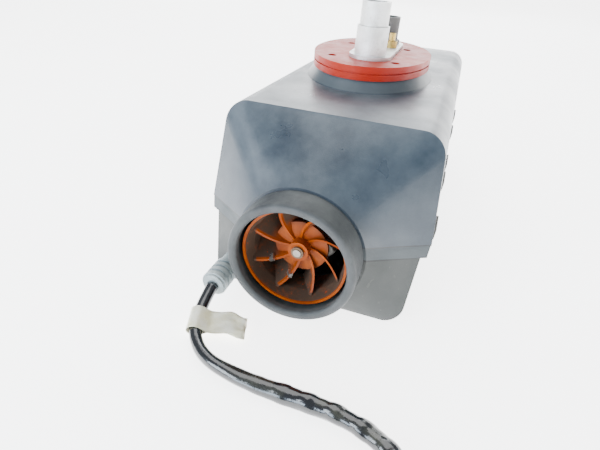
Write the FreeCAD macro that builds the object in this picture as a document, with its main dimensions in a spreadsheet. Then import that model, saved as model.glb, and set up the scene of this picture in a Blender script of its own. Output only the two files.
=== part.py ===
import FreeCAD
import Part
import math
import os
import re
from types import SimpleNamespace

import Sketcher
from FreeCAD import Matrix, Placement, Rotation, Vector

# Vehicle air heater, lying on its cover with its mounting flange up, as a parametric document in millimetres.
# A motor behind the air inlet turns the hot-air impeller in front of it and the combustion-air wheel behind it.
# The burner fires into a finned heat exchanger that hangs from the flange; warm air leaves at the rear collar.
# Frame: +Z up, +Y from the air inlet to the air outlet, origin on the floor under the middle of the casing.

DIMENSIONS = [
    # casing
    ("overall_length", 410), ("seam_width", 148), ("crown_width", 137), ("base_width", 140),
    ("casing_height", 121), ("seam_height", 56.5), ("wall", 2.5), ("crown_radius", 15), ("base_radius", 18),
    ("nose_length", 56), ("nose_lean", 0.235), ("tail_length", 58), ("tail_lean", 0.12),
    ("rim_band", 8), ("rim_step", 4), ("seam_line", 0.4), ("tongue_height", 3), ("tongue_wall", 1.5),
    ("tongue_length", 280), ("fit_gap", 0.3),
    # collars on the air path
    ("fan_x", -3), ("fan_z", 44.6), ("collar_radius", 40.5), ("collar_length", 20), ("collar_wall", 3.7),
    ("lip_overhang", 2.1), ("collar_tail", 9), ("collar_lip", 5), ("collar_round", 2.4), ("hood_wall", 1.7),
    ("outlet_x", 0), ("outlet_z", 58), ("outlet_radius", 44.8), ("outlet_length", 22), ("outlet_bore", 41.8),
    ("seat_step", 1), ("base_flat", 0.2),
    # mounting flange; stations are measured from the front of the inlet collar
    ("flange_x", -3), ("flange_station", 185), ("flange_stretch", 23), ("seal_radius", 46), ("seal_thickness", 9.5),
    ("seal_groove", 1), ("seal_overhang", 1.5), ("boss_height", 8), ("boss_spread", 5.5), ("boss_rim", 3),
    ("plate_thickness", 9), ("stud_station", 176), ("stud_hole_radius", 3.3), ("stud_spacing_x", 48),
    ("stud_spacing_y", 64), ("pedestal_margin", 4.2), ("pedestal_start", 155), ("pedestal_length", 62),
    ("pedestal_rise", 2.5), ("neck_margin", 2), ("saddle_top", 108),
    # stubs on the flange
    ("stub_x", 0), ("exhaust_station", 152), ("exhaust_radius", 10.4), ("exhaust_wall", 2.4),
    ("exhaust_boss_wall", 1.4), ("exhaust_boss_height", 22.5), ("exhaust_length", 31), ("exhaust_seat", 15),
    ("intake_station", 217), ("intake_radius", 10.2), ("intake_wall", 1.6), ("intake_height", 21),
    ("intake_foot_flare", 2), ("intake_foot", 3),
    ("fuel_x", 9), ("fuel_station", 195), ("fuel_radius", 2.5), ("fuel_bore", 1.5), ("fuel_height", 11),
    ("fuel_nut_radius", 4.6), ("fuel_nut_height", 5),
    # hot-air impeller
    ("impeller_front", 8), ("impeller_depth", 26), ("fan_clearance", 1.3), ("shroud_taper", 2.6),
    ("shroud_wall", 1.4), ("shroud_flare", 10), ("hub_disc_radius", 17.5), ("hub_disc_front", 24),
    ("hub_disc", 1.8), ("hub_radius", 6.6), ("hub_front", 17), ("blade_count", 8), ("blade_phase", -157.5),
    ("blade_thickness", 1.5), ("blade_tip_front", 12.5), ("blade_root_front", 23), ("blade_twist", 27),
    ("blade_lean", 28), ("clip_width", 3.6), ("clip_reach", 4.5), ("clip_sheet", 0.6),
    # shaft, motor and bearings
    ("shaft_radius", 2.5), ("shaft_front", 14.8), ("shaft_back", 101.5), ("nut_radius", 4), ("nut_height", 1.6),
    ("running_gap", 0.05), ("motor_front", 41), ("motor_length", 42), ("motor_radius", 21), ("motor_wall", 1.5),
    ("cap_thickness", 3), ("bearing_radius", 6), ("bearing_length", 6), ("bearing_seat", 2), ("stator_back", 3.1),
    ("magnet_length", 22), ("magnet_front", 11), ("air_gap", 0.8), ("winding_count", 6), ("winding_radius", 2.6),
    # combustion-air blower
    ("blower_radius", 38), ("blower_wall", 2.5), ("blower_length", 26), ("blower_cover", 3), ("blower_port", 9),
    ("wheel_radius", 28), ("wheel_width", 9), ("wheel_disc", 1.6), ("wheel_vanes", 16), ("wheel_vane", 1.2),
    ("wheel_gap", 4), ("wheel_hub", 5.5), ("blower_inlet", 8),
    # heat exchanger and burner
    ("exchanger_x", 0), ("exchanger_z", 56), ("gasket", 1.5), ("head_plate", 3.5), ("head_radius", 44),
    ("core_radius", 42), ("core_wall", 5), ("fin_radius", 51), ("fin_thickness", 1.8), ("fin_count", 24),
    ("exchanger_gap", 66), ("saddle_start", 15), ("saddle_end", 31), ("saddle_width", 44),
    ("burner_radius", 21), ("tube_wall", 1), ("burner_length", 80),
    ("flame_radius", 31), ("flame_gap", 36), ("mat_thickness", 4), ("glow_radius", 3), ("glow_length", 34),
    ("glow_head", 6), ("glow_head_length", 8), ("glow_offset", 26), ("sensor_radius", 5),
    ("sensor_height", 5), ("sensor_gap", 56), ("strap_width", 6), ("strap_length", 26), ("strap_sheet", 0.8),
    # control unit
    ("unit_x", 96), ("unit_y", 46), ("unit_z", 22), ("unit_front", 63), ("unit_base", 93), ("unit_wall", 2),
    ("board_sheet", 1.6), ("board_lift", 4), ("bracket_width", 24), ("bracket_length", 12),
    # harness
    ("boot_x", -52), ("boot_z", 17), ("boot_radius", 7.2), ("boot_front", -3), ("boot_length", 40),
    ("boot_rib", 1.3), ("boot_ribs", 4), ("boot_pitch", 5), ("cable_diameter", 10),
    ("tag_reach", 24), ("tag_sheet", 0.6), ("coil_radius", 57), ("coil_sweep", 272), ("plug_length", 34),
    ("plug_width", 24), ("plug_height", 16), ("plug_wall", 2),
    # small fixings
    ("latch_length", 9), ("latch_height", 13), ("latch_drop", 7.2), ("latch_sheet", 1.4), ("screw_head", 3.4),
    ("screw_height", 3),
]

doc = FreeCAD.newDocument("air_heater")
sheet = doc.addObject("Spreadsheet::Sheet", "Dims")
for row, (alias, value) in enumerate(DIMENSIONS, start=1):
    sheet.set("A%d" % row, alias)
    sheet.set("B%d" % row, str(value))
    sheet.setAlias("B%d" % row, alias)
doc.recompute()
ALIASES = [alias for alias, value in DIMENSIONS]
D = SimpleNamespace(**{alias: float(sheet.get(alias)) for alias in ALIASES})
NODES = []

# stations along the air path, as expressions over the sheet and as numbers
FRONT = "(0 - overall_length / 2)"
BACK = "(overall_length / 2)"
MOTOR_FRONT = FRONT + " + motor_front"
CAP_FRONT = MOTOR_FRONT + " + motor_length"
COVER_FRONT = CAP_FRONT + " + cap_thickness"
HEAD_FRONT = COVER_FRONT + " + blower_length"
EXCHANGER_FRONT = HEAD_FRONT + " + head_plate + gasket"
EXCHANGER_END = BACK + " - outlet_length - collar_tail - exchanger_gap"
BOSS_TOP = "casing_height + boss_height"
SEAL_TOP = BOSS_TOP + " + seal_thickness"
PEDESTAL_TOP = SEAL_TOP + " + pedestal_rise"
EXHAUST_Y = FRONT + " + exhaust_station"
INTAKE_Y = FRONT + " + intake_station"
FUEL_Y = FRONT + " + fuel_station"
front = -D.overall_length / 2
back = D.overall_length / 2
boss_top = D.casing_height + D.boss_height
seal_top = boss_top + D.seal_thickness
pedestal_top = seal_top + D.pedestal_rise
cover_front = front + D.motor_front + D.motor_length + D.cap_thickness
head_front = cover_front + D.blower_length
exchanger_front = head_front + D.head_plate + D.gasket
exchanger_length = back - D.outlet_length - D.collar_tail - D.exchanger_gap - exchanger_front
flange_y = front + D.flange_station
stud_y = front + D.stud_station
exhaust_y = front + D.exhaust_station
intake_y = front + D.intake_station
fuel_y = front + D.fuel_station

# sizes that follow the piece beside them, in the same two forms
COLLAR_BORE = "(collar_radius - collar_wall)"
COLLAR_THROAT = "(collar_radius - collar_wall - lip_overhang)"
EXHAUST_BORE = "(exhaust_radius - exhaust_wall)"
EXHAUST_BOSS = "(exhaust_radius + exhaust_boss_wall)"
INTAKE_BORE = "(intake_radius - intake_wall)"
MAGNET = "(motor_radius - motor_wall - stator_back - winding_radius * 2 - air_gap)"
collar_throat = D.collar_radius - D.collar_wall - D.lip_overhang
shroud_lip = collar_throat - D.fan_clearance
shroud_neck = shroud_lip - D.shroud_taper
exhaust_bore = D.exhaust_radius - D.exhaust_wall
exhaust_boss = D.exhaust_radius + D.exhaust_boss_wall
intake_bore = D.intake_radius - D.intake_wall
boss_top_radius = D.seal_radius - D.seal_overhang
boss_foot_radius = boss_top_radius + D.boss_spread
plate_radius = boss_top_radius - D.boss_rim
pedestal_radius = exhaust_boss + D.pedestal_margin
neck_radius = pedestal_radius + D.neck_margin
winding_reach = D.motor_radius - D.motor_wall - D.stator_back - D.winding_radius


# ---------------------------------------------------------------- helpers
def bound(text):
    """The same expression with each alias read from the sheet."""
    return re.sub(r"[a-z_]+", lambda hit: "Dims." + hit.group(0) if hit.group(0) in ALIASES else hit.group(0), text)


def bind(feature, **sizes):
    for name, text in sizes.items():
        feature.setExpression(name, bound(text))
    return feature


def place(feature, x="0", y="0", z="0", rotation=None):
    if rotation is not None:
        feature.Placement = Placement(Vector(), rotation)
    for axis, text in zip("xyz", (x, y, z)):
        feature.setExpression(".Placement.Base." + axis, bound(text))
    return feature


ALONG_Y = Rotation(Vector(1, 0, 0), -90)


def rod(name, radius, length, x="0", y="0", z="0", rotation=ALONG_Y):
    feature = doc.addObject("Part::Cylinder", name)
    bind(feature, Radius=radius, Height=length)
    return place(feature, x, y, z, rotation)


def block(name, length, width, height, x="0", y="0", z="0"):
    feature = doc.addObject("Part::Box", name)
    bind(feature, Length=length, Width=width, Height=height)
    return place(feature, x, y, z)


def joined(name, *members):
    feature = doc.addObject("Part::MultiFuse", name)
    feature.Shapes = list(members)
    return feature


def cut(name, base, *tools):
    feature = doc.addObject("Part::Cut", name)
    feature.Base = base
    feature.Tool = tools[0] if len(tools) == 1 else joined(name + "_tools", *tools)
    return feature


def node(feature, name):
    feature.Label = name
    NODES.append(feature)
    return feature


def shaped(name, shape):
    feature = doc.addObject("Part::Feature", name)
    feature.Shape = shape
    return node(feature, name)


def turned(name, profile, upright=False, rounds=()):
    """A PartDesign body turned from (radius, station) pairs of expressions; local axis Y, or Z when upright."""
    body = doc.addObject("PartDesign::Body", name)
    sketch = body.newObject("Sketcher::SketchObject", name + "_profile")
    role = "XZ_Plane" if upright else "XY_Plane"
    plane = [feature for feature in body.Origin.OriginFeatures if feature.Role == role][0]
    sketch.AttachmentSupport = [(plane, "")]
    sketch.MapMode = "FlatFace"
    for index in range(len(profile)):
        angle = 2 * math.pi * index / len(profile)
        following = 2 * math.pi * (index + 1) / len(profile)
        start = Vector(50 + 20 * math.cos(angle), 20 * math.sin(angle), 0)
        end = Vector(50 + 20 * math.cos(following), 20 * math.sin(following), 0)
        sketch.addGeometry(Part.LineSegment(start, end), False)
    for index in range(len(profile)):
        sketch.addConstraint(Sketcher.Constraint("Coincident", index, 2, (index + 1) % len(profile), 1))
    for index, pair in enumerate(profile):
        for kind, text in zip(("DistanceX", "DistanceY"), pair):
            number = sketch.addConstraint(Sketcher.Constraint(kind, -1, 1, index, 1, 10.0))
            sketch.setExpression("Constraints[%d]" % number, bound(text))
    feature = body.newObject("PartDesign::Revolution", name + "_turn")
    feature.Profile = sketch
    feature.ReferenceAxis = (sketch, ["V_Axis"])
    feature.Angle = 360
    doc.recompute()
    for radius, test in rounds:
        picked = ["Edge%d" % number for number, edge in enumerate(feature.Shape.Edges, start=1) if test(edge)]
        rounding = body.newObject("PartDesign::Fillet", name + "_round")
        rounding.Base = (feature, picked)
        bind(rounding, Radius=radius)
        doc.recompute()
        feature = rounding
    body.Tip = feature
    return node(body, name)


def ring_profile(outer, inner, length, start="0"):
    end = "(" + start + ") + " + length
    return [(inner, start), (outer, start), (outer, end), (inner, end)]


# ---------------------------------------------------------------- casing
def corner(before, vertex, after, radius):
    """Start, middle and end of the arc that rounds a corner."""
    inward = (before - vertex).normalize()
    outward = (after - vertex).normalize()
    half = inward.getAngle(outward) / 2
    bisector = (inward + outward).normalize()
    reach = radius / math.tan(half)
    middle = vertex + bisector * (radius / math.sin(half) - radius)
    return vertex + inward * reach, middle, vertex + outward * reach


def section_edges(side, base, crown):
    """Cross-section of the casing inset at the side walls, the base and the crown, as a loop of edges."""
    half = [(D.base_width / 2 - side, base, D.base_radius - side),
            (D.seam_width / 2 - side, D.seam_height, 0),
            (D.crown_width / 2 - side, D.casing_height - crown, D.crown_radius - side)]
    outline = [(Vector(x, 0, z), radius) for x, z, radius in half]
    outline += [(Vector(-x, 0, z), radius) for x, z, radius in reversed(half)]
    stops = []
    for index, (vertex, radius) in enumerate(outline):
        after = outline[(index + 1) % len(outline)][0]
        stops.append(corner(outline[index - 1][0], vertex, after, radius) if radius > 0 else (vertex, None, vertex))
    edges = []
    for index, (start, middle, end) in enumerate(stops):
        edges.append(Part.LineSegment(stops[index - 1][2], start).toShape())
        if middle is not None:
            edges.append(Part.Arc(start, middle, end).toShape())
    return edges


def leaning(edges, station, lean):
    """The section on a plane that leans along Y by `lean` per millimetre of height below the crown."""
    matrix = Matrix()
    matrix.A23 = lean
    matrix.A24 = station - lean * D.casing_height
    return Part.Wire(edges).transformGeometry(matrix)


def ring_wire(edges, radius, x, y, z):
    """A circle cut into arcs that face the edges of the section."""
    angles = [math.atan2(edge.firstVertex().Z - z, edge.firstVertex().X - x) for edge in edges]
    arcs = []
    for index, start in enumerate(angles):
        end = angles[(index + 1) % len(angles)]
        end += 2 * math.pi if end < start else 0
        points = [Vector(x + radius * math.cos(turn), y, z + radius * math.sin(turn))
                  for turn in (start, (start + end) / 2, end)]
        arcs.append(Part.Arc(*points).toShape())
    return Part.Wire(arcs)


def casing(side, base, crown, inset, front_ring, back_ring):
    """Solid bounded by the casing: round at both ends, with a leaning shoulder behind each round end."""
    edges = section_edges(side, base, crown)
    nose = front + D.collar_length + inset
    tail = back - D.outlet_length - inset
    wires = [ring_wire(edges, front_ring, D.fan_x, nose, D.fan_z),
             leaning(edges, front + D.nose_length + inset, D.nose_lean),
             leaning(edges, back - D.tail_length - inset, -D.tail_lean),
             ring_wire(edges, back_ring, D.outlet_x, tail, D.outlet_z)]
    return Part.makeLoft(wires, True, True)


def slab(bottom, top, length=None):
    """Everything between two heights, or only the middle `length` of it."""
    reach = D.overall_length if length is None else length
    width = 2 * D.seam_width
    return Part.makeBox(width, reach, top - bottom, Vector(-width / 2, -reach / 2, bottom))


def y_rod(radius, start, length, x, z):
    return Part.makeCylinder(radius, length, Vector(x, start, z), Vector(0, 1, 0))


def z_rod(radius, bottom, height, x, y):
    return Part.makeCylinder(radius, height, Vector(x, y, bottom), Vector(0, 0, 1))


def oval(radius, z):
    """Outline of the flange: a radius across, longer along the air path by the stretch."""
    centre = Vector(D.flange_x, flange_y, z)
    long_end = centre + Vector(0, radius + D.flange_stretch, 0)
    return Part.Wire(Part.Ellipse(long_end, centre + Vector(radius, 0, 0), centre).toShape())


def oval_block(radius, bottom, height):
    return Part.Face(oval(radius, bottom)).extrude(Vector(0, 0, height))


def casing_cavity(side, base):
    """Inside of the casing, with the seats of the two collars."""
    inlet_radius, outlet_radius = D.collar_radius - D.seat_step, D.outlet_radius - D.seat_step
    cavity = casing(side, base, D.wall, D.wall * 0.8, inlet_radius - 1, outlet_radius - 1)
    inlet_seat = y_rod(inlet_radius, front, D.collar_length + D.collar_tail, D.fan_x, D.fan_z)
    outlet_start = back - D.outlet_length - D.collar_tail
    outlet_seat = y_rod(outlet_radius, outlet_start, D.outlet_length + D.collar_tail, D.outlet_x, D.outlet_z)
    return cavity.fuse([inlet_seat, outlet_seat])


def outside(side):
    return casing(side, 0, 0, 0, D.collar_radius + D.hood_wall, D.outlet_radius + D.hood_wall)


def upper_shell():
    """Flange side of the casing, with a low cone round the flange opening."""
    skin = outside(0).cut(casing_cavity(D.wall, D.wall)).common(slab(D.seam_height, D.casing_height))
    foot = D.casing_height - D.wall
    slope = (boss_foot_radius - boss_top_radius) / D.boss_height
    cone = Part.makeLoft([oval(boss_foot_radius + slope * D.wall, foot), oval(boss_top_radius, boss_top)], True, True)
    opening = oval_block(plate_radius + D.fit_gap, foot - 1, D.boss_height + D.wall + 2)
    return skin.fuse(cone).cut(opening).removeSplitter()


def lower_shell():
    """Cover of the casing: a rim band flush with the upper shell, then a wall set in and tapering to the base."""
    band = D.seam_height - D.rim_band
    side = D.rim_step + D.wall
    cavity = casing_cavity(side, D.wall)
    rim = outside(D.seam_line).cut(cavity).common(slab(band, D.seam_height))
    rings = D.collar_radius + D.hood_wall, D.outlet_radius + D.hood_wall
    wall = casing(D.rim_step, -D.base_flat, 0, 0, *rings).cut(cavity).common(slab(0, band))
    gap = D.wall + D.fit_gap
    tongue = casing(gap, D.wall, D.wall, D.wall, D.collar_radius - 2, D.outlet_radius - 2)
    tongue = tongue.cut(casing(gap + D.tongue_wall, D.wall, D.wall, D.wall, D.collar_radius - 3, D.outlet_radius - 3))
    tongue = tongue.common(slab(band, D.seam_height + D.tongue_height, D.tongue_length))
    shell = rim.fuse([wall, tongue])
    outlet = y_rod(D.boot_radius, front, D.nose_length * 2, D.boot_x, D.boot_z)
    return shell.cut(outlet).removeSplitter()


LATCH_STATIONS = [front + 61, front + 138, front + 177, back - 145, back - 85]


def seam_latches():
    """Small lugs across the seam, shaped to the side walls."""
    skin = outside(-D.latch_sheet).cut(outside(0))
    lugs = []
    for side in (-1, 1):
        for station in LATCH_STATIONS:
            low = Vector(side * D.seam_width / 2 - 10, station, D.seam_height - D.latch_drop)
            box = Part.makeBox(20, D.latch_length, D.latch_height, low)
            lugs.append(skin.common(box))
    lugs = [lug.cut(outside(0)) for lug in lugs]
    return Part.makeCompound([solid for lug in lugs for solid in lug.Solids])


shaped("upper_shell", upper_shell())
shaped("lower_shell", lower_shell())
shaped("seam_latches", seam_latches())


# ---------------------------------------------------------------- collars
def circle_at(station, radius):
    """Test for a full circle of a radius at a station along Y."""
    def test(edge):
        curve = edge.Curve
        if not isinstance(curve, Part.Circle):
            return False
        return abs(curve.Radius - radius) < 0.01 and abs(curve.Center.y - station) < 0.01
    return test


def either(*tests):
    return lambda edge: any(test(edge) for test in tests)


inlet_rim = either(circle_at(0, D.collar_radius), circle_at(0, collar_throat))
place(turned("inlet_collar", [
    (COLLAR_THROAT, "0"), ("collar_radius", "0"), ("collar_radius", "collar_length"),
    ("collar_radius - seat_step", "collar_length"), ("collar_radius - seat_step", "collar_length + collar_tail"),
    (COLLAR_BORE, "collar_length + collar_tail"), (COLLAR_BORE, "collar_lip + lip_overhang"),
    (COLLAR_THROAT, "collar_lip")], rounds=[("collar_round", inlet_rim)]), "fan_x", FRONT, "fan_z")
place(turned("outlet_collar", [
    ("outlet_bore", "0"), ("outlet_radius - seat_step", "0"), ("outlet_radius - seat_step", "collar_tail"),
    ("outlet_radius", "collar_tail"), ("outlet_radius", "collar_tail + outlet_length"),
    ("outlet_bore", "collar_tail + outlet_length")]), "outlet_x", BACK + " - outlet_length - collar_tail", "outlet_z")


# ---------------------------------------------------------------- flange, stubs and seal
def stud_positions():
    for along in (-1, 1):
        for across in (-1, 1):
            yield D.flange_x + across * D.stud_spacing_x / 2, stud_y + along * D.stud_spacing_y / 2


def slot(radius, bottom, height):
    """Upright slot-shaped block that takes both stubs."""
    start, length = front + D.pedestal_start, D.pedestal_length
    ends = [z_rod(radius, bottom, height, D.stub_x, y) for y in (start, start + length)]
    middle = Part.makeBox(2 * radius, length, height, Vector(D.stub_x - radius, start, bottom))
    return middle.fuse(ends)


def flange_seal():
    """Silicone ring between the flange and the vehicle floor, with a parting groove round its edge."""
    disc = oval_block(D.seal_radius, boss_top, D.seal_thickness)
    middle = boss_top + D.seal_thickness / 2 - D.seal_groove / 2
    groove = oval_block(D.seal_radius + 1, middle, D.seal_groove)
    groove = groove.cut(oval_block(D.seal_radius - D.seal_groove, middle, D.seal_groove))
    holes = [z_rod(D.stud_hole_radius, boss_top, D.seal_thickness, x, y) for x, y in stud_positions()]
    boss = z_rod(exhaust_boss + D.fit_gap, boss_top, D.seal_thickness, D.stub_x, exhaust_y)
    tools = [groove, slot(pedestal_radius + D.fit_gap, boss_top, D.seal_thickness), boss] + holes
    return disc.cut(tools)


def flange_plate():
    """Cast plate under the seal, with the raised pedestal that carries the stubs."""
    bottom = boss_top - D.plate_thickness
    plate = oval_block(plate_radius, bottom, D.plate_thickness)
    casting = plate.fuse(slot(pedestal_radius, boss_top, D.seal_thickness + D.pedestal_rise))
    height = pedestal_top - bottom
    tools = [z_rod(exhaust_boss, bottom, height, D.stub_x, exhaust_y),
             z_rod(intake_bore, bottom, height, D.stub_x, intake_y),
             z_rod(D.fuel_bore, bottom, height, D.fuel_x, fuel_y)]
    tools += [z_rod(D.stud_hole_radius, bottom, D.plate_thickness, x, y) for x, y in stud_positions()]
    return casting.cut(tools).removeSplitter()


def exchanger_neck():
    """Block between the heat exchanger and the flange plate, with the three passages through it."""
    height = boss_top - D.plate_thickness - D.saddle_top
    block_shape = slot(neck_radius, D.saddle_top, height)
    tools = [z_rod(exhaust_bore, D.saddle_top, height, D.stub_x, exhaust_y),
             z_rod(intake_bore, D.saddle_top, height, D.stub_x, intake_y),
             z_rod(D.fuel_bore, D.saddle_top, height, D.fuel_x, fuel_y)]
    return block_shape.cut(tools)


shaped("flange_seal", flange_seal())
shaped("flange_plate", flange_plate())
shaped("exchanger_neck", exchanger_neck())
UPRIGHT = Rotation()
PLATE_BOTTOM = BOSS_TOP + " - plate_thickness"
BOSS_LENGTH = "plate_thickness + seal_thickness + exhaust_boss_height"
place(turned("exhaust_boss", [
    (EXHAUST_BORE, "0"), (EXHAUST_BOSS, "0"), (EXHAUST_BOSS, BOSS_LENGTH),
    ("exhaust_radius - seat_step", BOSS_LENGTH), ("exhaust_radius - seat_step", BOSS_LENGTH + " - exhaust_seat"),
    (EXHAUST_BORE, BOSS_LENGTH + " - exhaust_seat")], upright=True), "stub_x", EXHAUST_Y, PLATE_BOTTOM)
PIPE_BOTTOM = SEAL_TOP + " + exhaust_boss_height - exhaust_seat"
place(turned("exhaust_pipe", [
    (EXHAUST_BORE, "0"), ("exhaust_radius - seat_step", "0"), ("exhaust_radius - seat_step", "exhaust_seat"),
    ("exhaust_radius", "exhaust_seat"), ("exhaust_radius", "exhaust_length"), (EXHAUST_BORE, "exhaust_length")],
    upright=True), "stub_x", EXHAUST_Y, PIPE_BOTTOM)
place(turned("air_intake_pipe", [
    (INTAKE_BORE, "0"), ("intake_radius + intake_foot_flare", "0"),
    ("intake_radius + intake_foot_flare", "intake_foot"), ("intake_radius", "intake_foot"),
    ("intake_radius", "intake_height"), (INTAKE_BORE, "intake_height")],
    upright=True), "stub_x", INTAKE_Y, PEDESTAL_TOP)
place(turned("fuel_pipe", [
    ("fuel_bore", "0"), ("fuel_nut_radius", "0"), ("fuel_nut_radius", "fuel_nut_height"),
    ("fuel_radius", "fuel_nut_height"), ("fuel_radius", "fuel_height"), ("fuel_bore", "fuel_height")],
    upright=True), "fuel_x", FUEL_Y, PEDESTAL_TOP)


# ---------------------------------------------------------------- heat exchanger and burner
def heat_exchanger():
    """Closed finned cup; a flat saddle on its top carries the flange neck."""
    x, z, length = D.exchanger_x, D.exchanger_z, exchanger_length
    core = y_rod(D.core_radius, exchanger_front, length, x, z)
    flange = y_rod(D.head_radius, exchanger_front, D.core_wall, x, z)
    fins = []
    for index in range(int(D.fin_count)):
        fin = Part.makeBox(D.fin_radius - D.core_radius + 2, length - 2 * D.core_wall, D.fin_thickness,
                           Vector(D.core_radius - 2, 2 * D.core_wall, -D.fin_thickness / 2))
        fin.Placement = Placement(Vector(x, exchanger_front, z), Rotation(Vector(0, 1, 0), 360 / D.fin_count * index))
        fins.append(fin)
    saddle = Part.makeBox(D.saddle_width, length - D.saddle_start - D.saddle_end, D.saddle_top - z,
                          Vector(x - D.saddle_width / 2, exchanger_front + D.saddle_start, z))
    ports = [z_rod(exhaust_bore, z, D.saddle_top - z, D.stub_x, exhaust_y),
             z_rod(D.fuel_bore, D.saddle_top - 8, 8, D.fuel_x, fuel_y)]
    chamber = y_rod(D.core_radius - D.core_wall, exchanger_front, length - D.core_wall, x, z)
    return core.fuse(fins + [flange, saddle]).cut([chamber] + ports).removeSplitter()


shaped("heat_exchanger", heat_exchanger())
FAN_PORT = ("fan_x", HEAD_FRONT, "fan_z")
GASKET_FRONT = HEAD_FRONT + " + head_plate"
place(turned("exchanger_gasket", ring_profile("head_radius", "core_radius - core_wall", "gasket")),
      "exchanger_x", GASKET_FRONT, "exchanger_z")
head_disc = rod("head_disc", "head_radius", "head_plate", "exchanger_x", HEAD_FRONT, "exchanger_z")
head_port = rod("head_port", "blower_port", "head_plate", *FAN_PORT)
GLOW_Z = "exchanger_z + glow_offset"
glow_hole = rod("glow_hole", "glow_radius", "head_plate", "exchanger_x", HEAD_FRONT, GLOW_Z)
node(cut("burner_head_cut", head_disc, head_port, glow_hole), "burner_head")
burner_end = [("burner_radius - tube_wall", "0"), ("burner_radius", "0"), ("burner_radius", "burner_length"),
              ("burner_radius - tube_wall", "burner_length")]
place(turned("burner_tube", burner_end), "exchanger_x", GASKET_FRONT, "exchanger_z")
FLAME_LENGTH = EXCHANGER_END + " - flame_gap - (" + EXCHANGER_FRONT + ")"
place(turned("flame_tube", ring_profile("flame_radius", "flame_radius - tube_wall", FLAME_LENGTH)),
      "exchanger_x", GASKET_FRONT, "exchanger_z")
mat_ring = [("blower_port + fit_gap", "0"), ("burner_radius - tube_wall", "0"),
            ("burner_radius - tube_wall", "mat_thickness"), ("blower_port + fit_gap", "mat_thickness")]
place(turned("evaporator_mat", mat_ring), "exchanger_x", GASKET_FRONT, "exchanger_z")
place(turned("glow_plug", [
    ("0", "0"), ("glow_head", "0"), ("glow_head", "glow_head_length"), ("glow_radius", "glow_head_length"),
    ("glow_radius", "glow_head_length + glow_length"), ("0", "glow_head_length + glow_length")]),
      "exchanger_x", HEAD_FRONT + " - glow_head_length", GLOW_Z)
SENSOR_Y = EXCHANGER_END + " - sensor_gap"
node(rod("overheat_sensor", "sensor_radius", "sensor_height", "exchanger_x", SENSOR_Y, "saddle_top", UPRIGHT),
     "overheat_sensor")


def sensor_strap():
    """Spring strap that holds the sensor down on the saddle."""
    y = exchanger_front + exchanger_length - D.sensor_gap
    top = D.saddle_top + D.sensor_height
    half, width, sheet_metal = D.strap_length / 2, D.strap_width, D.strap_sheet
    bar = Part.makeBox(2 * half, width, sheet_metal, Vector(D.exchanger_x - half, y - width / 2, top))
    legs = [Part.makeBox(sheet_metal, width, D.sensor_height, Vector(D.exchanger_x + x, y - width / 2, D.saddle_top))
            for x in (-half, half - sheet_metal)]
    return bar.fuse(legs).removeSplitter()


shaped("sensor_strap", sensor_strap())

# ---------------------------------------------------------------- combustion-air blower
at_cavity = COVER_FRONT + " + blower_cover"
cup = rod("blower_cup", "blower_radius", "blower_length - blower_cover", "fan_x", at_cavity, "fan_z")
hollow = rod("blower_hollow", "blower_radius - blower_wall", "blower_length - blower_cover - blower_wall",
             "fan_x", at_cavity, "fan_z")
outflow = rod("blower_outflow", "blower_port", "blower_length", "fan_x", at_cavity, "fan_z")
glow_room = rod("glow_room", "glow_head + fit_gap", "glow_head_length + 1", "exchanger_x",
                HEAD_FRONT + " - glow_head_length - 1", GLOW_Z)
node(cut("blower_housing_cut", cup, hollow, outflow, glow_room), "blower_housing")
lid = rod("blower_lid", "blower_radius", "blower_cover", "fan_x", COVER_FRONT, "fan_z")
lid_hole = rod("lid_hole", "bearing_radius", "blower_cover", "fan_x", COVER_FRONT, "fan_z")
LID_INLET_Z = "fan_z + motor_radius + blower_inlet"
lid_inlet = rod("lid_inlet", "blower_inlet / 2", "blower_cover", "fan_x", COVER_FRONT, LID_INLET_Z)
node(cut("blower_cover_cut", lid, lid_hole, lid_inlet), "blower_cover")


def combustion_wheel():
    """Backplate, hub and straight radial vanes."""
    start = cover_front + D.blower_cover + D.wheel_gap
    disc = y_rod(D.wheel_radius, start, D.wheel_disc, D.fan_x, D.fan_z)
    hub = y_rod(D.wheel_hub, start, D.wheel_width, D.fan_x, D.fan_z)
    vanes = []
    for index in range(int(D.wheel_vanes)):
        vane = Part.makeBox(D.wheel_radius * 0.45, D.wheel_width, D.wheel_vane, Vector(D.wheel_radius * 0.54, 0, 0))
        turn = Rotation(Vector(0, 1, 0), 360 / D.wheel_vanes * index)
        vane.Placement = Placement(Vector(D.fan_x, start, D.fan_z), turn)
        vanes.append(vane)
    bore = y_rod(D.shaft_radius, start, D.wheel_width, D.fan_x, D.fan_z)
    return disc.fuse(vanes + [hub]).cut(bore).removeSplitter()


shaped("combustion_wheel", combustion_wheel())

# ---------------------------------------------------------------- motor
AT_MOTOR = ("fan_x", MOTOR_FRONT, "fan_z")
seat_end = "motor_wall + bearing_length - bearing_seat"
place(turned("motor_can", [
    ("shaft_radius + 1", "0"), ("motor_radius", "0"), ("motor_radius", "motor_length"),
    ("motor_radius - motor_wall", "motor_length"), ("motor_radius - motor_wall", "motor_wall"),
    ("bearing_radius + bearing_seat", "motor_wall"), ("bearing_radius + bearing_seat", "motor_wall + bearing_length"),
    ("bearing_radius", "motor_wall + bearing_length"), ("bearing_radius", "motor_wall"),
    ("shaft_radius + 1", "motor_wall")]), *AT_MOTOR)
place(turned("motor_end_cap", [
    ("bearing_radius", "0 - bearing_seat"), ("bearing_radius + bearing_seat", "0 - bearing_seat"),
    ("bearing_radius + bearing_seat", "0"), ("motor_radius", "0"), ("motor_radius", "cap_thickness"),
    ("bearing_radius", "cap_thickness")]), "fan_x", CAP_FRONT, "fan_z")
bearing = ring_profile("bearing_radius", "shaft_radius + running_gap", "bearing_length")
place(turned("front_bearing", bearing), "fan_x", MOTOR_FRONT + " + motor_wall", "fan_z")
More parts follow.
